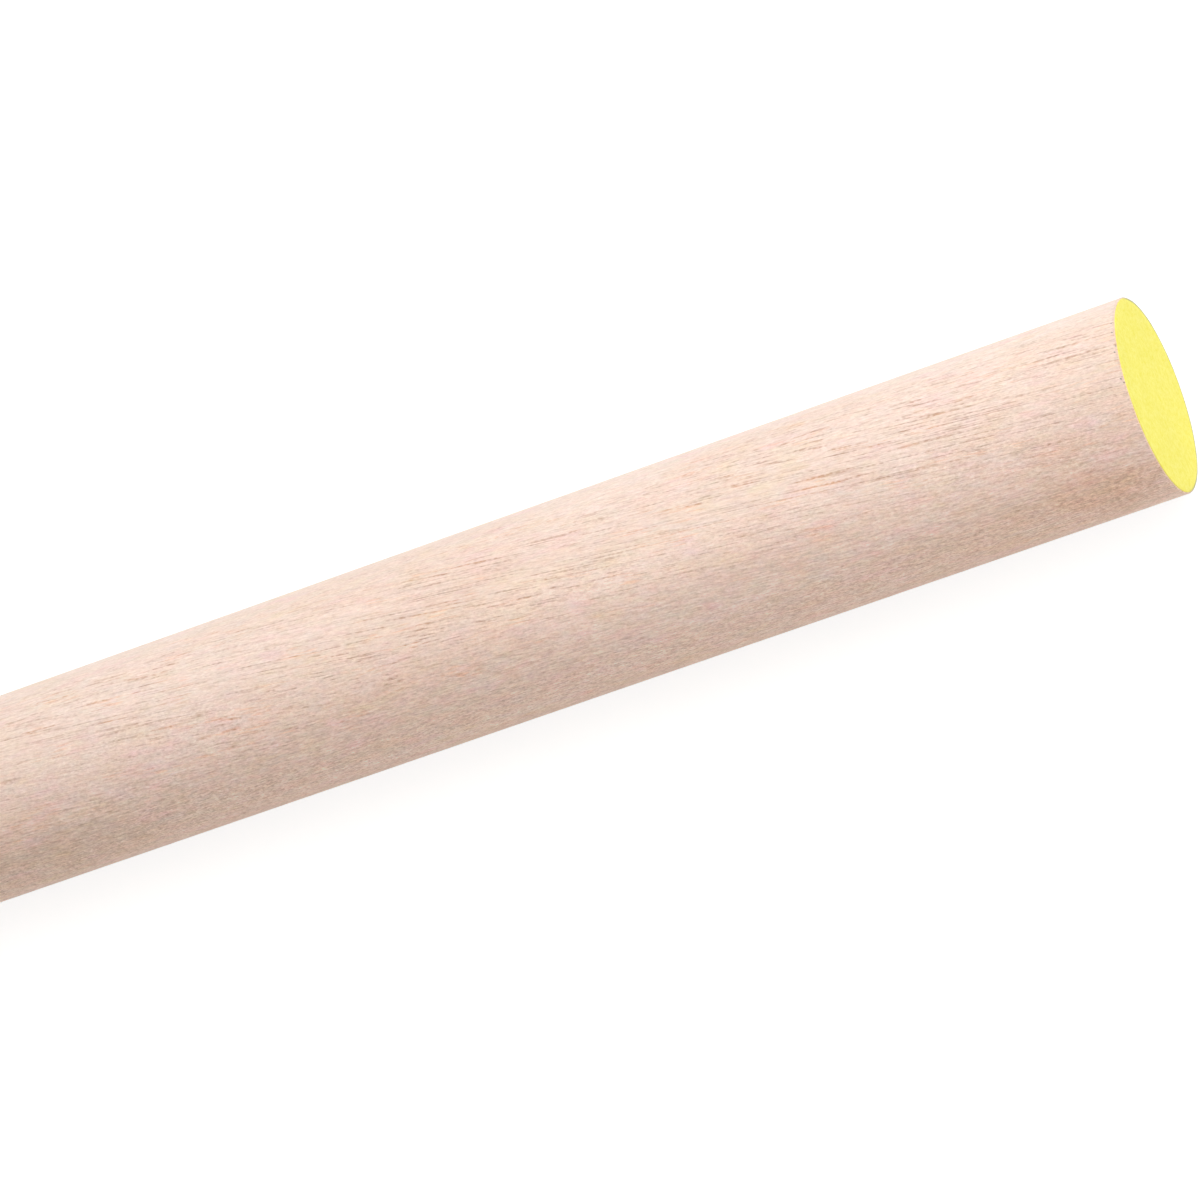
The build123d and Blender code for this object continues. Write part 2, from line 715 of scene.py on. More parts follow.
@dataclass(frozen=True)
class TurnedWood:
    """The side of the rod as it leaves the cutter: bare, pale and matte, with its vessels cut open.

    Args:
        grain: The wood's structure.
        radius: The rod's radius, in millimetres.
        pale: Colour between the bands.
        warm: Colour of a growth band.
        rosy: Colour of a pink patch.
        golden: Colour of a yellow patch.
        redder: What the painted warm light on the lower front side leaves of each colour.
        resin: What resin leaves of each colour in a vessel line.
        painted_shade_colour: Colour of the painted shade in a chip at the marked rim, and along the rim's
            lower back.
        painted_rim_shade: Painted shade: what it leaves of each colour at the marked rim.
        tints: Brown smudges low on the side near the marked end, and paler or duller streaks further in.
        tone_gains: How much a lighter or darker grain line changes red, green and blue.
        hue_gains: How much the small shifts of hue change them.
        pore_tone: How much lighter an open pore makes the wood.
        streak_tone: How much lighter a streak makes it.
        fleck_tone: How much lighter a ray fleck makes it.
        reddening: How much the painted warm light reddens the wood, rising towards the lower front side.
        pore_share: How much of the pores show, fewer towards the lower front side: painted light, as the
            grazing light there hides them.
        thread: How strongly the fibres show, more towards the lower front side: painted shading of relief
            that grazing light would show.
        nap: How strongly the sanded nap shows, more towards the lower front side: painted shading of relief
            that grazing light would show.
        painted_grazing_nap: How much more the nap shows on the lower front side: painted shading of relief
            that grazing light would show.
        motley: How strongly the hue shifts, more towards the lower front side.
        painted_rim_shade_band: Where the painted shade at the marked rim starts and is full, in millimetres
            from the end.
        back_rim_shade_band: Where the painted shade along the lower back of the marked rim starts and is
            full, in millimetres from the end.
        dark_loss: From how much loss a chip's painted shade starts to darken the wood, and where it is full.
        pore_depth: Depth of an open pore, in metres.
        roughness: How matte the surface is.
        sheen: How much white light the sanded nap returns at a glancing angle.
    """

    grain: GrainPattern
    radius: float
    pale: Colour = (0.91, 0.705, 0.60)
    warm: Colour = (0.865, 0.64, 0.525)
    rosy: Colour = (0.895, 0.635, 0.56)
    golden: Colour = (0.875, 0.665, 0.515)
    redder: Colour = (1.035, 1.0, 1.0)
    resin: Colour = (1.15, 0.99, 0.82)
    painted_shade_colour: Colour = (0.22, 0.15, 0.12)
    painted_rim_shade: Colour = (0.84, 0.79, 0.74)
    tints: Sequence[SoftTint] = (
        SoftTint(inset=9.0, turn=77.0, length=9.0, width=6.0, gains=(0.99, 0.92, 0.86)),
        SoftTint(inset=6.0, turn=95.0, length=8.0, width=5.5, gains=(0.91, 0.87, 0.84)),
        SoftTint(inset=7.0, turn=28.0, length=12.0, width=8.0, gains=(0.965, 0.955, 0.94)),
        SoftTint(inset=13.0, turn=75.0, length=30.0, width=9.0, gains=(0.975, 0.945, 0.925)),
        SoftTint(inset=72.0, turn=29.0, length=46.0, width=5.0, gains=(1.05, 1.065, 1.06)),
        SoftTint(inset=153.0, turn=81.0, length=30.0, width=5.6, gains=(0.905, 0.89, 0.855)),
    )
    tone_gains: Colour = (0.74, 1.04, 1.20)
    hue_gains: Colour = (0.042, 0.013, 0.050)
    pore_tone: float = -0.38
    streak_tone: float = -0.10
    fleck_tone: float = 0.07
    reddening: SideTrend = SideTrend(0.0, 8.0, clean=0.0, toward_side=1.0)
    pore_share: SideTrend = SideTrend(2.0, 10.0, clean=1.0, toward_side=0.5)
    thread: SideTrend = SideTrend(5.5, 11.5, clean=0.09, toward_side=0.20)
    nap: SideTrend = SideTrend(0.0, 4.5, clean=0.12, toward_side=0.20)
    painted_grazing_nap: SideTrend = SideTrend(10.2, 13.2, clean=0.0, toward_side=0.25)
    motley: SideTrend = SideTrend(0.0, 10.0, clean=1.0, toward_side=1.5)
    painted_rim_shade_band: tuple[float, float] = (0.45, 0.12)
    back_rim_shade_band: tuple[float, float] = (0.40, 0.20)
    dark_loss: tuple[float, float] = (0.35, 0.95)
    pore_depth: float = 0.021 * MM
    roughness: float = 0.64
    sheen: float = 0.2

    def _figured(self, sheet: NodeSheet, parts: GrainNodes) -> Socket:
        """The colour of clean wood, with its bands, patches, lines and nap, and painted light on its lower
        front side.

        Args:
            sheet: The material's nodes.
            parts: The grain.

        Returns:
            The colour.
        """
        colour = sheet.tint(self.pale, self.warm, sheet.ramp(parts.band, -1.2, 1.2))
        colour = sheet.tint(colour, self.rosy, sheet.ramp(parts.blush, 0.1, 1.0))
        colour = sheet.tint(colour, self.golden, sheet.ramp(parts.blush, -0.25, -1.1))
        # painted light: towards the lower front side the wood turns redder, shows fewer pores and more nap
        # and fibre, standing in for grazing and bounce light there
        colour = sheet.gain(colour, self.redder, self.reddening.at(sheet, parts))

        pores = sheet.maths("MULTIPLY", parts.vessels, self.pore_share.at(sheet, parts))
        nap = sheet.maths("ADD", self.nap.at(sheet, parts), self.painted_grazing_nap.at(sheet, parts))
        thread = self.thread.at(sheet, parts)
        tone = sheet.maths("MULTIPLY", pores, self.pore_tone)
        tone = sheet.weigh(tone, (parts.streaks, self.streak_tone), (parts.fibre, thread))
        tone = sheet.weigh(tone, (parts.fleck, self.fleck_tone), (parts.fuzz, nap))
        gains = sheet.vector("MULTIPLY_ADD", sheet.join(tone), self.tone_gains, WHITE)
        hue = sheet.vector("MULTIPLY", parts.hue, sheet.join(self.motley.at(sheet, parts)))
        colour = sheet.gain(colour, sheet.vector("MULTIPLY_ADD", hue, self.hue_gains, gains))

        lines = sheet.maths("MAXIMUM", pores, sheet.maths("MULTIPLY", parts.streaks, 0.6))
        return sheet.gain(colour, self.resin, sheet.maths("MULTIPLY", parts.stain, lines))

    def _stains_and_painted_shade(self, sheet: NodeSheet, parts: GrainNodes, colour: Socket) -> Socket:
        """Add the tints near the marked end, with painted shade at its rim and in the saw's chips.

        Args:
            sheet: The material's nodes.
            parts: The grain.
            colour: The colour of clean wood.

        Returns:
            The colour with the tints and the painted shade.
        """
        marked_end = self.grain.lay.origin / MM
        for tint in self.tints:
            colour = sheet.gain(colour, tint.gains, tint.share(sheet, parts, marked_end, self.radius))
        inset = sheet.maths("SUBTRACT", marked_end, sheet.split(sheet.place())[0])
        inset = sheet.weigh(inset, (parts.fuzz, 0.10))
        # painted shade: the marked rim darker all round, and darker still along its lower back, turned away
        # from the camera
        colour = sheet.gain(colour, self.painted_rim_shade, sheet.ramp(inset, *self.painted_rim_shade_band))
        back_rim_shade = sheet.maths("MULTIPLY", sheet.ramp(inset, *self.back_rim_shade_band), sheet.underside(self.radius))
        colour = sheet.tint(colour, self.painted_shade_colour, back_rim_shade)
        # painted shade in the chip hollows, darker where more is lost
        loss = sheet.add("ShaderNodeAttribute", attribute_name=LOSS_ATTRIBUTE).outputs["Fac"]
        return sheet.tint(colour, self.painted_shade_colour, sheet.ramp(loss, *self.dark_loss))

    def material(self) -> bpy.types.Material:
        """Build the finish's material.

        Returns:
            The material.
        """
        sheet = NodeSheet(bpy.data.materials.new("turned_hardwood"))
        parts = self.grain.nodes(sheet)
        colour = self._stains_and_painted_shade(sheet, parts, self._figured(sheet, parts))
        sunk = sheet.maths("MULTIPLY", parts.vessels, -1.0)
        sunk = sheet.weigh(sunk, (parts.streaks, -0.25), (parts.fibre, 0.10), (parts.fuzz, 0.12))
        rough = sheet.weigh(self.roughness, (parts.fibre, 0.05))
        rough = sheet.maths("MULTIPLY_ADD", parts.vessels, 0.2, rough, clamp=True)
        return sheet.surface(colour, rough, sheet.relief(sunk, self.pore_depth), self.sheen)


@dataclass(frozen=True)
class SawnEndGrain:
    """A bare sawn end: darker than the side, with open pores, rays and the saw's scratches.

    Args:
        grain: The wood's structure.
        pale: Colour between the bands.
        warm: Colour of a growth band.
        vessel: Colour inside a pore.
        scratch_spans: Spans of the saw scratches along X, Y and Z, in millimetres.
        pore_depth: Depth of an open pore, in metres.
        roughness: How matte the surface is.
    """

    grain: GrainPattern
    pale: Colour = (0.66, 0.49, 0.375)
    warm: Colour = (0.54, 0.375, 0.275)
    vessel: Colour = (0.17, 0.10, 0.07)
    scratch_spans: Spans = (1.0, 30.0, 0.45)
    pore_depth: float = 0.08 * MM
    roughness: float = 0.78

    def material(self) -> bpy.types.Material:
        """Build the finish's material.

        Returns:
            The material.
        """
        sheet = NodeSheet(bpy.data.materials.new("sawn_end_grain"))
        parts = self.grain.nodes(sheet)
        scratches = sheet.swell(sheet.place(), self.scratch_spans, detail=2.0, rough=0.7)
        colour = sheet.tint(self.pale, self.warm, sheet.ramp(parts.band, -1.0, 1.0))
        fine = sheet.weigh(1.0, (scratches, 0.07), (parts.fibre, 0.10), (parts.fleck, 0.08))
        colour = sheet.gain(colour, sheet.join(fine))
        for pores, share in ((parts.streaks, 0.5), (parts.vessels, 0.9)):
            colour = sheet.tint(colour, self.vessel, sheet.maths("MULTIPLY", pores, share))
        sunk = sheet.maths("MULTIPLY", parts.vessels, -1.0)
        sunk = sheet.weigh(sunk, (scratches, 0.25), (parts.fibre, 0.15))
        return sheet.surface(colour, self.roughness, sheet.relief(sunk, self.pore_depth))


@dataclass(frozen=True)
class FlatPaint:
    """Marking paint, brushed on end grain: flat, even and a little drawn in over the pores.

    Args:
        grain: The structure of the wood under the paint.
        edge: Radius of the film's outer edge, in millimetres.
        body: The paint's colour.
        thin: Its colour where the end grain has drawn it in.
        painted_rim_shade: Colour of the painted shade at the film's edge, on its lower back.
        painted_rim_shade_band: Where the painted shade starts and is full, in millimetres from the film's
            edge.
        mottle_spans: Spans of its fine mottle along X, Y and Z, in millimetres.
        pool_spans: Spans of the pools that it dried in.
        relief_depth: Depth of its mottle, in metres.
        roughness: How matte it is.
    """

    grain: GrainPattern
    edge: float
    body: Colour = (0.858, 0.777, 0.148)
    thin: Colour = (0.758, 0.665, 0.027)
    painted_rim_shade: Colour = (0.22, 0.22, 0.15)
    painted_rim_shade_band: tuple[float, float] = (0.34, 0.06)
    mottle_spans: Spans = (1.0, 0.5, 0.5)
    pool_spans: Spans = (1.0, 6.0, 6.0)
    relief_depth: float = 0.02 * MM
    roughness: float = 0.55

    def material(self) -> bpy.types.Material:
        """Build the finish's material.

        Returns:
            The material.
        """
        sheet = NodeSheet(bpy.data.materials.new("marking_paint_film"))
        parts = self.grain.nodes(sheet)
        place = sheet.place()
        mottle = sheet.swell(place, self.mottle_spans, detail=2.0, rough=0.8)
        pool = sheet.swell(place, self.pool_spans, detail=1.0)
        drawn_in = sheet.weigh(sheet.ramp(mottle, -0.9, 1.1), (parts.vessels, 0.4))
        colour = sheet.tint(self.body, self.thin, drawn_in)
        colour = sheet.gain(colour, sheet.join(sheet.weigh(1.0, (pool, 0.012), (mottle, 0.04))))
        radius = sheet.weigh(sheet.diagonal(*sheet.split(place)[1:]), (mottle, 0.03))
        # painted shade along the film's edge on its lower back, turned away from the camera
        rim_shade_share = sheet.ramp(radius, *(self.edge - inset for inset in self.painted_rim_shade_band))
        colour = sheet.tint(colour, self.painted_rim_shade, sheet.maths("MULTIPLY", rim_shade_share, sheet.underside(self.edge)))
        height = sheet.weigh(sheet.maths("MULTIPLY", mottle, 0.4), (parts.vessels, -0.6))
        rough = sheet.maths("MULTIPLY_ADD", mottle, 0.05, self.roughness, clamp=True)
        return sheet.surface(colour, rough, sheet.relief(height, self.relief_depth))


@dataclass(frozen=True)
class PaleSweep:
    """The studio's white floor: it casts plain white light, and shows as white with a faint shadow.

    Args:
        space: The rod's space.
        reflectance: How much light it returns to the rod.
        shadow_share: How much of what is seen of it near the rod is lit, and so can fall into shadow.
        glow: White that is seen near the rod whatever the light.
        reach_along: How far from the rod's middle the shadow can show along X, as a share of its length.
        reach_across: How far from its axis the shadow can show, in metres.
    """

    space: RodSpace
    reflectance: Colour = (0.89, 0.85, 0.79)
    shadow_share: float = 0.28
    glow: float = 0.87
    reach_along: float = 0.7
    reach_across: float = 0.2

    def material(self) -> bpy.types.Material:
        """Build the finish's material.

        Returns:
            The material.
        """
        sheet = NodeSheet(bpy.data.materials.new("pale_sweep"))
        lit = sheet.add("ShaderNodeBsdfDiffuse", {"Color": (*self.reflectance, 1.0)})
        glow = sheet.add("ShaderNodeEmission", {"Strength": self.glow / (1.0 - self.shadow_share)})
        scale = (MM / (self.reach_along * self.space.length), MM / self.reach_across, 0.0)
        apart = sheet.vector("SUBTRACT", sheet.place(), (self.space.middle / MM, 0.0, 0.0))
        apart = sheet.vector("MULTIPLY", apart, scale)
        near = sheet.ramp(sheet.vector("DOT_PRODUCT", apart, apart), 1.0, 0.4, 1.0, 1.0 - self.shadow_share)
        share = sheet.maths("MULTIPLY", sheet.seen_directly(), near)
        seen = sheet.add("ShaderNodeMixShader", (share, lit.outputs[0], glow.outputs[0]))
        return sheet.finish(seen.outputs[0])


# The rod


@dataclass(frozen=True)
class EdgeChip:
    """A small loss at the marked end's rim, where an open vessel meets the saw cut.

    Args:
        turn: Its place round the rod, in radians from +Z towards -Y.
        inset: How far it is from the end face, in metres.
        width: Its width round the rod, in metres.
        length: Its length along the rod, in metres.
        depth: Its depth, in metres.
    """

    turn: float
    inset: float
    width: float
    length: float
    depth: float


@dataclass(frozen=True)
class RodBakeLayout:
    """Lays the rod's skin out flat: its side as strips one above the other, and the end faces above them.

    Args:
        space: The rod's space.
        strips: How many lengths the side is cut into.
        margin: Free room round each island, as a share of the map.
        face_zoom: How much larger the end faces are drawn than the side.
    """

    space: RodSpace
    strips: int = 3
    margin: float = 0.006
    face_zoom: float = 1.9

    def corner_places(self, skin: TurnedSkin) -> np.ndarray:
        """The map's places for each corner of each face.

        Args:
            skin: The turned skin.

        Returns:
            One (u, v) row for each corner, in the order of the skin's faces.
        """
        lengths = skin.profile_lengths()
        side = [i for i, point in enumerate(skin.profile) if point.patch is Patch.SIDE]
        cuts = np.linspace(lengths[side[0]], lengths[side[-1] + 1], self.strips + 1)
        scale = (1.0 - 4.0 * self.margin) / (cuts[1] - cuts[0])
        height = 2.0 * math.pi * self.space.radius * scale
        faces, steps = skin.faces()
        places: list[tuple[float, float]] = []
        for number, (face, step) in enumerate(zip(faces, steps)):
            column = number % skin.columns
            if skin.profile[step].patch is Patch.SIDE:
                middle = (lengths[step] + lengths[step + 1]) / 2.0
                strip = min(int((middle - cuts[0]) / (cuts[1] - cuts[0])), self.strips - 1)
                low = self.margin + strip * (height + self.margin)
                across = [2.0 * self.margin + (lengths[i] - cuts[strip]) * scale for i in (step, step + 1)]
                up = [low + height * (column + i) / skin.columns for i in (0, 1)]
                places += [(across[0], up[0]), (across[0], up[1]), (across[1], up[1]), (across[1], up[0])]
            else:
                places += self._face_places(skin, step, column, len(face), scale)
        return np.array(places)

    def _face_places(
        self, skin: TurnedSkin, step: int, column: int, corner_count: int, scale: float
    ) -> list[tuple[float, float]]:
        """The places of one face of an end, drawn as it looks from outside.

        Args:
            skin: The turned skin.
            step: The profile step that the face spans.
            column: The skin's column that it is in.
            corner_count: How many corners it has, 3 next to a pole.
            scale: The map's units to a metre of the side.

        Returns:
            One (u, v) pair for each corner.
        """
        at_start = skin.profile[step].patch is Patch.START_FACE
        reach = self.space.radius * scale * self.face_zoom
        centre_u = 2.0 * self.margin + reach + (0.0 if at_start else 2.0 * reach + self.margin)
        height = 2.0 * math.pi * self.space.radius * scale
        centre_v = self.strips * (height + self.margin) + self.margin + reach
        turns = [2.0 * math.pi * (column + i) / skin.columns for i in (0, 1)]
        near, far = (skin.profile[i].radius / self.space.radius * reach for i in (step, step + 1))
        corners = [(near, turns[0]), (near, turns[1]), (far, turns[1]), (far, turns[0])]
        if corner_count == 3:
            del corners[1 if at_start else 2]
        flip = 1.0 if at_start else -1.0
        return [(centre_u + flip * r * math.sin(t), centre_v + r * math.cos(t)) for r, t in corners]


@dataclass
class TurnedRod:
    """The rod's wood: one piece, turned round, sawn at both ends and worn at its rims.

    Args:
        space: The space to fill.
        lay: How the grain runs.
        side_finish: The finish of the turned side.
        end_finish: The finish of the sawn ends.
        end_recess: How far the marked face lies under the paint's outer surface, in metres.
        rim_wear: Radius of the worn rims, in metres.
        columns: Mesh steps round the rod.
        face_rings: Mesh steps across an end face.
        finest_step: The mesh's shortest step along the side, in metres.
        coarsest_step: Its longest step along the side, in metres.
        step_growth: How much longer each step is than the one nearer the end, as a ratio.
        relief_start: Where the side's unevenness starts, as a share of the radius.
        waver: Depth of the slow unevenness left by turning, in metres.
        waver_spans: Its spans in grain coordinates, in millimetres.
        ridge: Depth of the ridges between hard and soft grain, in metres.
        band_spans: Spans of the broad ridges in grain coordinates, in millimetres.
        line_spans: Spans of the narrow ridges in grain coordinates, in millimetres.
        saw_depth: Depth of the saw's marks on the ends, in metres.
        saw_spans: Spans of the saw's marks along X, Y and Z, in metres.
        chip_count: How many chips the marked rim has.
        chip_zone: How far in from the marked end a chip can reach, in metres.
    """

    space: RodSpace
    lay: GrainLay
    side_finish: TurnedWood
    end_finish: SawnEndGrain
    end_recess: float = 0.09 * MM
    rim_wear: float = 0.18 * MM
    columns: int = 288
    face_rings: int = 18
    finest_step: float = 0.22 * MM
    coarsest_step: float = 5.0 * MM
    step_growth: float = 1.04
    relief_start: float = 0.97
    waver: float = 0.035 * MM
    waver_spans: Spans = (140.0, 14.0, 14.0)
    ridge: float = 0.022 * MM
    band_spans: Spans = (60.0, 2.4, 2.4)
    line_spans: Spans = (28.0, 0.8, 0.8)
    saw_depth: float = 0.03 * MM
    saw_spans: Spans = (math.inf, 0.02, 0.0011)
    chip_count: int = 26
    chip_zone: float = 3.0 * MM

    def _rim(self, face: float, inward: float) -> list[ProfilePoint]:
        """The quarter round from an end face to the side.

        Args:
            face: Place of the face along X.
            inward: 1 where the rod runs to +X from the face, -1 where it runs to -X.

        Returns:
            The points from the face's edge to the side's.
        """
        inner = self.space.radius - self.rim_wear
        return [
            ProfilePoint(
                face + inward * self.rim_wear * (1.0 - math.cos(step)),
                inner + self.rim_wear * math.sin(step),
                Patch.SIDE,
            )
            for step in (math.radians(angle) for angle in (0.0, 22.5, 45.0, 67.5, 90.0))
        ]

    def profile(self) -> list[ProfilePoint]:
        """Draw the rod's outline.

        Returns:
            The points from the bare end's centre to the marked end's centre.
        """
        start = self.space.bare_end
        finish = self.space.marked_end - self.end_recess
        inner = self.space.radius - self.rim_wear
        spokes = [*np.linspace(0.0, inner, self.face_rings + 1)[:-1], inner - 0.5 * self.rim_wear]
        limits = (self.finest_step, self.coarsest_step, self.step_growth)
        stations = graded_stations(start + self.rim_wear, finish - self.rim_wear, *limits)[1:-1]
        face = [ProfilePoint(start, float(radius), Patch.START_FACE) for radius in spokes]
        side = [ProfilePoint(place, self.space.radius, Patch.SIDE) for place in stations]
        far_rim = self._rim(finish, -1.0)[:0:-1]
        inwards = (inner, *spokes[::-1])
        far_face = [ProfilePoint(finish, float(radius), Patch.FINISH_FACE) for radius in inwards]
        return face + self._rim(start, 1.0) + side + far_rim + far_face

    def chips(self) -> list[EdgeChip]:
        """Place the chips round the marked rim: a few open vessels in a row, and scattered small ones.

        Returns:
            The chips.
        """
        draw = np.random.default_rng(7)
        row = ((-17.5, 0.55), (-10.0, 0.48), (0.0, 0.20), (3.75, 0.48), (20.0, 0.48), (22.5, 0.20))
        made = [
            EdgeChip(math.radians(turn), inset * MM, width=0.17 * MM, length=0.19 * MM, depth=0.085 * MM)
            for turn, inset in row
        ]
        for _ in range(self.chip_count - len(row)):
            turn = float(draw.uniform(0.0, 2.0 * math.pi))
            ranges = ((0.2, 0.6), (0.12, 0.2), (0.16, 0.24), (0.02, 0.05))
            inset, width, length, depth = (float(draw.uniform(*ends)) * MM for ends in ranges)
            made.append(EdgeChip(turn, inset, width, length, depth))
        return made

    def _loss(self, points: np.ndarray) -> tuple[np.ndarray, np.ndarray]:
        """How much the chips take away.

        Args:
            points: The rod's vertices.

        Returns:
            The loss at each vertex in metres, and how dark its painted shade is from 0 to 1.
        """
        turns = np.arctan2(-points[:, 1], points[:, 2])
        near = points[:, 0] > self.space.marked_end - self.chip_zone
        depth = np.zeros(len(points))
        chips = self.chips()
        for chip in chips:
            apart = (turns - chip.turn + np.pi) % (2.0 * np.pi) - np.pi
            across = apart * self.space.radius / chip.width
            down = (self.space.marked_end - chip.inset - points[:, 0]) / chip.length
            depth = np.maximum(depth, np.exp(-(across**2) - down**2) * near * chip.depth)
        return depth, depth / max(chip.depth for chip in chips)

    def _side_relief(self, points: np.ndarray) -> np.ndarray:
        """How far the side lies under the rod's full radius.

        Args:
            points: The rod's vertices.

        Returns:
            The distance at each vertex, in metres.
        """
        places = self.lay.places(points)
        slow = noise_at(places, self.waver_spans)
        bands = noise_at(places, self.band_spans, shift=13.7)
        lines = noise_at(places, self.line_spans, shift=31.1)
        swing = 0.5 + 0.5 * np.clip(slow, -1.0, 1.0)
        fine = 0.5 + 0.5 * np.clip(0.65 * bands + 0.35 * lines, -1.0, 1.0)
        return self.waver * swing + self.ridge * fine

    def _face_relief(self, points: np.ndarray) -> np.ndarray:
        """How far an end face lies inside its plane at each point, in metres."""
        return self.saw_depth * (0.5 + 0.5 * np.clip(noise_at(points, self.saw_spans), -1.0, 1.0))

    def shaped(self, skin: TurnedSkin) -> tuple[np.ndarray, np.ndarray]:
        """The skin's vertices with the wear and unevenness of the wood.

        Args:
            skin: The plain turned skin.

        Returns:
            The vertices, and how dark each one is from a chip's painted shade.
        """
        points = skin.points()
        radii = np.linalg.norm(points[:, 1:], axis=1)
        on_side = (radii / self.space.radius - self.relief_start) / (1.0 - self.relief_start)
        on_side = np.clip(on_side, 0.0, 1.0)
        loss, dark = self._loss(points)
        sink = (self._side_relief(points) + loss) * on_side
        points[:, 1:] *= (1.0 - sink / np.maximum(radii, 1e-9))[:, None]
        flat = radii < self.space.radius - self.rim_wear + 1e-7
        inward = np.sign(self.space.middle - points[:, 0])
        fade = np.clip((self.space.radius - radii) / MM, 0.0, 1.0)
        points[:, 0] += np.where(flat, inward * self._face_relief(points) * fade, 0.0)
        return points, dark * on_side

    def build(self) -> bpy.types.Object:
        """Build the rod as one closed mesh with its finishes and bake map.

        Returns:
            The piece.
        """
        skin = TurnedSkin(self.profile(), self.columns)
        points, dark = self.shaped(skin)
        piece = mesh_piece("turned_rod", skin, points, RodBakeLayout(self.space).corner_places(skin))
        for finish in (self.side_finish, self.end_finish):
            piece.data.materials.append(finish.material())
        _, steps = skin.faces()
        slots = [0 if skin.profile[step].patch is Patch.SIDE else 1 for step in steps]
        piece.data.polygons.foreach_set("material_index", slots)
        # the chips' loss, which the side finish turns into painted shade
        loss = piece.data.attributes.new(LOSS_ATTRIBUTE, "FLOAT", "POINT")
        loss.data.foreach_set("value", dark.astype(np.float32))
        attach(piece, "root")
        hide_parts("dowel_rod")
        return piece


@dataclass
class MarkingCoat:
    """The paint on the marked end: a thin film with a soft uneven edge, short of the worn rim.

    Args:
        space: The rod's space.
        finish: The paint's finish.
        thickness: Thickness of the film, in metres.
        tuck: How far its back lies in the wood, in metres.
        bare_rim: Width of the rim that it leaves bare, in metres.
        bead_share: Radius of its rounded edge, as a share of its thickness.
        edge_waver: How uneven its edge is, in metres.
        edge_swells: How often its edge swings slowly and quickly round the rod, as the radius of a circle
            in swells.
        hollow_depth: How far its face sinks over the end grain, in metres.
        wide_hollows: Spans of the wide hollows along X, Y and Z, in metres.
        fine_hollows: Spans of the fine ones.
        rings: Mesh steps across the film.
        columns: Mesh steps round it.
    """

    space: RodSpace
    finish: FlatPaint
    thickness: float = 0.09 * MM
    tuck: float = 0.04 * MM
    bare_rim: float = 0.20 * MM
    bead_share: float = 0.7
    edge_waver: float = 0.05 * MM
    edge_swells: tuple[float, float] = (3.0, 22.0)
    hollow_depth: float = 0.012 * MM
    wide_hollows: Spans = (math.inf, 0.0018, 0.0018)
    fine_hollows: Spans = (math.inf, 0.0006, 0.0006)
    rings: int = 40
    columns: int = 288

    def profile(self) -> list[ProfilePoint]:
        """Draw the film's section: a flat back, a rounded edge and a face.

        Returns:
            The points from the back's centre to the face's centre.
        """
        face = self.space.marked_end
        seat = face - self.thickness
        edge = self.space.radius - self.bare_rim
        bead = self.bead_share * self.thickness
        outline = [(seat - self.tuck, radius, Patch.START_FACE) for radius in (0.0, 0.5 * edge)]
        for turn in (math.radians(angle) for angle in (-90.0, 0.0, 25.0, 50.0, 75.0)):
            rise = (self.thickness if turn > 0.0 else self.tuck) * math.sin(turn)
            outline.append((seat + rise, edge - bead + bead * math.cos(turn), Patch.SIDE))
        top = np.linspace(edge - bead, 0.0, self.rings)
        outline += [(face, float(radius), Patch.FINISH_FACE) for radius in top]
        return [ProfilePoint(*point) for point in outline]

    def shaped(self, skin: TurnedSkin) -> np.ndarray:
        """The film's vertices, with its uneven edge and its slight hollows over the end grain.

        Args:
            skin: The plain turned skin.

        Returns:
            The vertices.
        """
        points = skin.points()
        turns = np.arctan2(-points[:, 1], points[:, 2])
        radii = np.linalg.norm(points[:, 1:], axis=1)
        circle = np.stack([np.cos(turns), np.sin(turns), np.zeros(len(turns))], axis=1)
        slow, quick = self.edge_swells
        ripple = noise_at(slow * circle, shift=(0.0, 0.0, 4.2))
        ripple += 0.6 * noise_at(quick * circle, shift=(0.0, 0.0, 9.1))
        at_edge = np.clip(radii / (self.space.radius - self.bare_rim), 0.0, 1.0) ** 12
        share = 1.0 + at_edge * self.edge_waver * np.clip(ripple, -1.0, 0.9) / self.space.radius
        points[:, 1:] *= share[:, None]
        wide = noise_at(points, self.wide_hollows, shift=(0.5, 0.0, 0.0))
        fine = noise_at(points, self.fine_hollows, shift=(7.5, 0.0, 0.0))
        depth = self.hollow_depth * (1.0 + 0.6 * wide + 0.4 * fine)
        outer = points[:, 0] > self.space.marked_end - 0.5 * self.thickness
        points[:, 0] -= np.where(outer, depth * (1.0 - 0.6 * at_edge), 0.0)
        return points

    def corner_places(self, skin: TurnedSkin) -> np.ndarray:
        """The bake map: the face fills it, and the hidden back lies in a corner.

        Args:
            skin: The plain turned skin.

        Returns:
            One (u, v) row for each corner, in the order of the skin's faces.
        """
        faces, steps = skin.faces()
        patches = [skin.profile[step].patch for face, step in zip(faces, steps) for _ in face]
        hidden = np.array([patch is Patch.START_FACE for patch in patches])[:, None]
        flat = skin.points()[np.concatenate(faces), 1:] / self.space.radius
        return np.where(hidden, 0.05 + 0.04 * flat, 0.5 + 0.48 * flat)

    def build(self) -> bpy.types.Object:
        """Build the film as one closed mesh.

        Returns:
            The piece.
        """
        skin = TurnedSkin(self.profile(), self.columns)
        piece = mesh_piece("marking_paint", skin, self.shaped(skin), self.corner_places(skin))
        piece.data.materials.append(self.finish.material())
        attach(piece, "root")
        return piece


# The studio


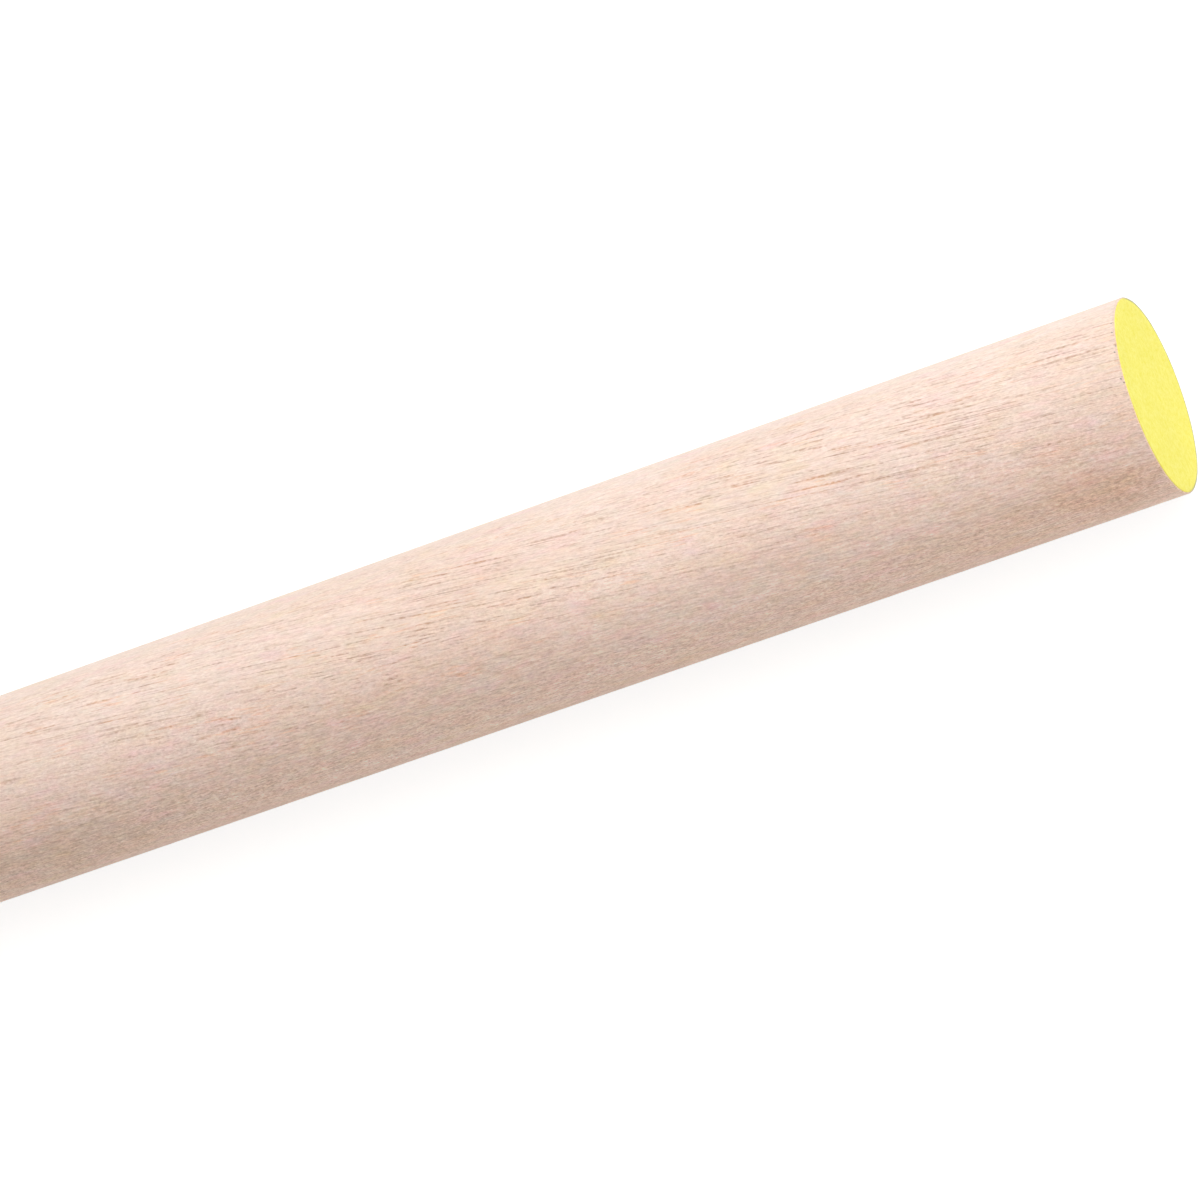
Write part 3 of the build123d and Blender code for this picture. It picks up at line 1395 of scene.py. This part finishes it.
@dataclass(frozen=True)
class SoftLamp:
    """A large soft lamp that faces one end of the rod.

    Args:
        name: The lamp's name.
        faces: Place along X of the end that it faces, in metres.
        turn: Where it stands round the rod, in degrees from +Z towards -Y.
        along: How far along X it stands from that end, in metres.
        distance: How far from the rod's axis it stands, in metres.
        size: The side of its square panel, in metres.
        power: Its power in watts.
        colour: The colour of its light.
    """

    name: str
    faces: float
    turn: float
    along: float
    distance: float
    size: float
    power: float
    colour: Colour = COOL_WHITE

    def build(self) -> None:
        """Set the lamp up."""
        data = bpy.data.lights.new(self.name, "AREA")
        data.shape = "SQUARE"
        data.size = self.size
        data.energy = self.power
        data.color = self.colour
        lamp = put_in_scene(self.name, data)
        target = Vector((self.faces, 0.0, 0.0))
        lamp.location = target + Vector(self.distance * around(self.turn) + (self.along, 0.0, 0.0))
        lamp.rotation_mode = "QUATERNION"
        lamp.rotation_quaternion = (target - lamp.location).to_track_quat("-Z", "Y")


@dataclass(frozen=True)
class EndCamera:
    """A long lens that looks down at the marked end, with the rod running out of the picture.

    Args:
        lens: Focal length, in millimetres.
        sensor: Width of the sensor, in millimetres.
        nearest: Distance from which it sees things, in metres.
        farthest: Distance up to which it sees them, in metres.
        end_in_view: The marked end's centre in the camera's right, up and back directions, in metres.
        axis_in_view: The rod's axis, from bare to marked end, in the same directions.
        raised: How far above level the camera stands, seen along the rod, in degrees.
    """

    lens: float = 209.1
    sensor: float = 36.0
    nearest: float = 0.05
    farthest: float = 100.0
    end_in_view: tuple[float, float, float] = (0.0680, 0.02504, -0.85116)
    axis_in_view: tuple[float, float, float] = (0.8929, 0.3115, 0.3251)
    raised: float = 55.0

    def build(self, end: Vector) -> None:
        """Place the camera.

        Args:
            end: The marked end's centre in the row frame.
        """
        spot = Vector(self.end_in_view)
        axis = Vector(self.axis_in_view).normalized()
        towards = (-spot - axis * (-spot).dot(axis)).normalized()
        in_view = Matrix((axis, towards, towards.cross(axis)))
        along = Vector((1.0, 0.0, 0.0))
        facing = Vector(around(90.0 - self.raised))
        turn = Matrix((along, facing, facing.cross(along))).transposed() @ in_view
        data = bpy.data.cameras.new("end_camera")
        data.lens = self.lens
        data.sensor_width = self.sensor
        data.clip_start = self.nearest
        data.clip_end = self.farthest
        camera = put_in_scene("end_camera", data)
        camera.rotation_mode = "QUATERNION"
        camera.rotation_quaternion = turn.to_quaternion()
        camera.location = end - turn @ spot
        bpy.context.scene.camera = camera


@dataclass
class Studio:
    """A pale floor under the rod, soft lamps, a white surround and the camera.

    Args:
        space: The rod's space.
        floor_finish: The floor's finish.
        floor_side: Length of the floor's sides, in metres.
        ambient: Strength of the even light from all round.
        camera: The camera.
    """

    space: RodSpace
    floor_finish: PaleSweep
    floor_side: float = 40.0
    ambient: float = 0.12
    camera: EndCamera = EndCamera()

    def lamps(self) -> list[SoftLamp]:
        """Place three soft lamps over the marked end, and two that keep the rest of the rod as bright.

        Returns:
            The lamps.
        """
        marked, bare = self.space.marked_end, self.space.bare_end
        return [
            SoftLamp("back_softbox", marked, turn=-24.0, along=0.32, distance=1.01, size=1.2, power=6.73),
            SoftLamp("top_softbox", marked, turn=-10.0, along=0.45, distance=1.19, size=1.2, power=5.97),
            SoftLamp("end_softbox", marked, turn=15.0, along=0.56, distance=0.63, size=0.8, power=4.64),
            SoftLamp("bare_top_softbox", bare, turn=5.0, along=0.154, distance=0.34, size=0.6, power=1.02),
            SoftLamp("bare_end_softbox", bare, turn=-54.0, along=-1.036, distance=0.51, size=0.8, power=8.92),
        ]

    def _floor(self) -> None:
        """Lay the floor under the rod's lowest line."""
        half = self.floor_side / 2.0
        signs = ((-1, -1), (1, -1), (1, 1), (-1, 1))
        corners = [(self.space.middle + x * half, y * half, -self.space.radius) for x, y in signs]
        mesh = bpy.data.meshes.new("floor")
        mesh.from_pydata(corners, [], [(0, 1, 2, 3)])
        floor = put_in_scene("floor", mesh)
        floor.data.materials.append(self.floor_finish.material())

    def _surround(self) -> None:
        """Light the scene evenly from all round, and show white where nothing stands."""
        world = bpy.data.worlds.new("white_surround")
        bpy.context.scene.world = world
        sheet = NodeSheet(world)
        cast = tuple(self.ambient * channel for channel in WARM_WHITE)
        colour = sheet.tint(cast, WHITE, sheet.seen_directly())
        sheet.finish(sheet.add("ShaderNodeBackground", {"Color": colour}).outputs[0])

    def build(self) -> None:
        """Build the whole studio."""
        self._floor()
        self._surround()
        for lamp in self.lamps():
            lamp.build()
        self.camera.build(Vector((self.space.marked_end, 0.0, 0.0)))
        bpy.context.scene.view_settings.view_transform = "Standard"


def main() -> None:
    """Build the rod, its marking and the studio in order."""
    logging.basicConfig(level=logging.INFO, format="%(name)s: %(message)s")
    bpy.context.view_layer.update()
    space = RodSpace.from_frame()
    lay = GrainLay(origin=space.marked_end)
    grain = GrainPattern(lay)
    rod = TurnedRod(space, lay, TurnedWood(grain, space.radius / MM), SawnEndGrain(grain))
    coat = MarkingCoat(space, FlatPaint(grain, edge=(space.radius - MarkingCoat.bare_rim) / MM))
    for builder in (rod, coat):
        piece = builder.build()
        LOG.info("%s: %d faces", piece.name, len(piece.data.polygons))
    Studio(space, PaleSweep(space)).build()


if __name__ == "__main__":
    main()
